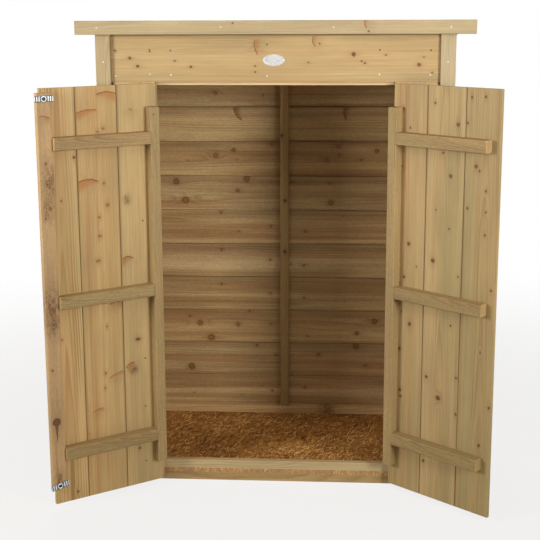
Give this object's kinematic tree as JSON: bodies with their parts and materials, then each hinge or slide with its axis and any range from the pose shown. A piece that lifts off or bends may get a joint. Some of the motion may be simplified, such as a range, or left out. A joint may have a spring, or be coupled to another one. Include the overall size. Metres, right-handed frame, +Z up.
{
  "type": "garden storage cabinet",
  "caption": "Narrow wooden garden store with a felted pent roof, overlap cladding, a strand-board floor and two ledged doors that swing open on strap hinges.",
  "frame": {"origin": "on the ground, under the centre of the rectangular frame", "axes": "+X to the right seen from the front, +Y to the back, +Z up"},
  "size_m": [1.4173, 0.8793, 1.582],
  "materials": {
    "treated_timber": "sawn and planed pressure-treated softwood, matt",
    "strand_board": "oriented strand board, matt",
    "roofing_felt": "mineral-surfaced roofing felt, matt",
    "zinc_hinge": "zinc plated, satin",
    "zinc_button": "zinc plated, stamped, satin",
    "dark_screw": "dark, satin",
    "silver_badge": "satin, blank"
  },
  "bodies": {
    "cabinet": {"back_bottom_rail": "treated_timber", "back_centre_batten": "treated_timber", "back_cladding": "treated_timber", "back_top_rail": "treated_timber", "badge_plate": "silver_badge", "door_head_rail": "treated_timber", "fascia_batten": "treated_timber", "floor_bearers": "treated_timber", "floor_board": "strand_board", "front_bottom_rail": "treated_timber", "front_fascia": "treated_timber", "front_head_plate": "treated_timber", "header_board": "treated_timber", "left_corner_trim": "treated_timber", "left_door_jamb": "treated_timber", "left_front_board": "treated_timber", "left_front_post": "treated_timber", "left_hinge_frame_plates": "zinc_hinge", "left_hinge_pins": "zinc_hinge", "left_rear_post": "treated_timber", "left_side_bottom_rail": "treated_timber", "left_side_cladding": "treated_timber", "left_side_top_rail": "treated_timber", "right_corner_trim": "treated_timber", "right_door_jamb": "treated_timber", "right_front_board": "treated_timber", "right_front_post": "treated_timber", "right_hinge_frame_plates": "zinc_hinge", "right_hinge_pins": "zinc_hinge", "right_rear_post": "treated_timber", "right_side_bottom_rail": "treated_timber", "right_side_cladding": "treated_timber", "right_side_top_rail": "treated_timber", "roof_deck": "strand_board", "roof_felt": "roofing_felt", "roof_rafter": "treated_timber"},
    "left_door": {"left_door_hinge_batten": "treated_timber", "left_door_hinge_board": "treated_timber", "left_door_lower_ledge": "treated_timber", "left_door_meeting_board": "treated_timber", "left_door_middle_board": "treated_timber", "left_door_middle_ledge": "treated_timber", "left_door_upper_ledge": "treated_timber", "left_hinge_straps": "zinc_hinge", "meeting_stile": "treated_timber", "turn_button_screws": "dark_screw"},
    "right_door": {"right_door_hinge_batten": "treated_timber", "right_door_hinge_board": "treated_timber", "right_door_lower_ledge": "treated_timber", "right_door_meeting_board": "treated_timber", "right_door_middle_board": "treated_timber", "right_door_middle_ledge": "treated_timber", "right_door_upper_ledge": "treated_timber", "right_hinge_straps": "zinc_hinge"},
    "upper_button": {"upper_turn_button": "zinc_button"},
    "lower_button": {"lower_turn_button": "zinc_button"},
    "outer_button": {"outer_turn_button": "zinc_button"}
  },
  "joints": [
    {"name": "left_door_hinge", "type": "hinge", "parent": "cabinet", "child": "left_door", "pos_m": [-0.3925, -0.2903, 0.7], "axis": [0, 0, -1], "range_deg": [-146, 24]},
    {"name": "right_door_hinge", "type": "hinge", "parent": "cabinet", "child": "right_door", "pos_m": [0.3925, -0.2903, 0.7], "axis": [0, 0, 1], "range_deg": [-141.5, 28.5]},
    {"name": "upper_button_turn", "type": "hinge", "parent": "left_door", "child": "upper_button", "pos_m": [-0.68993, -0.5347, 1.351], "axis": [0.5592, -0.829, 0], "range_deg": [-90, 90]},
    {"name": "lower_button_turn", "type": "hinge", "parent": "left_door", "child": "lower_button", "pos_m": [-0.68993, -0.5347, 0.09], "axis": [0.5592, -0.829, 0], "range_deg": [-100, 80]},
    {"name": "outer_button_turn", "type": "hinge", "parent": "left_door", "child": "outer_button", "pos_m": [-0.70403, -0.50441, 0.688], "axis": [-0.5592, 0.829, 0], "range_deg": [-90, 90]}
  ]
}
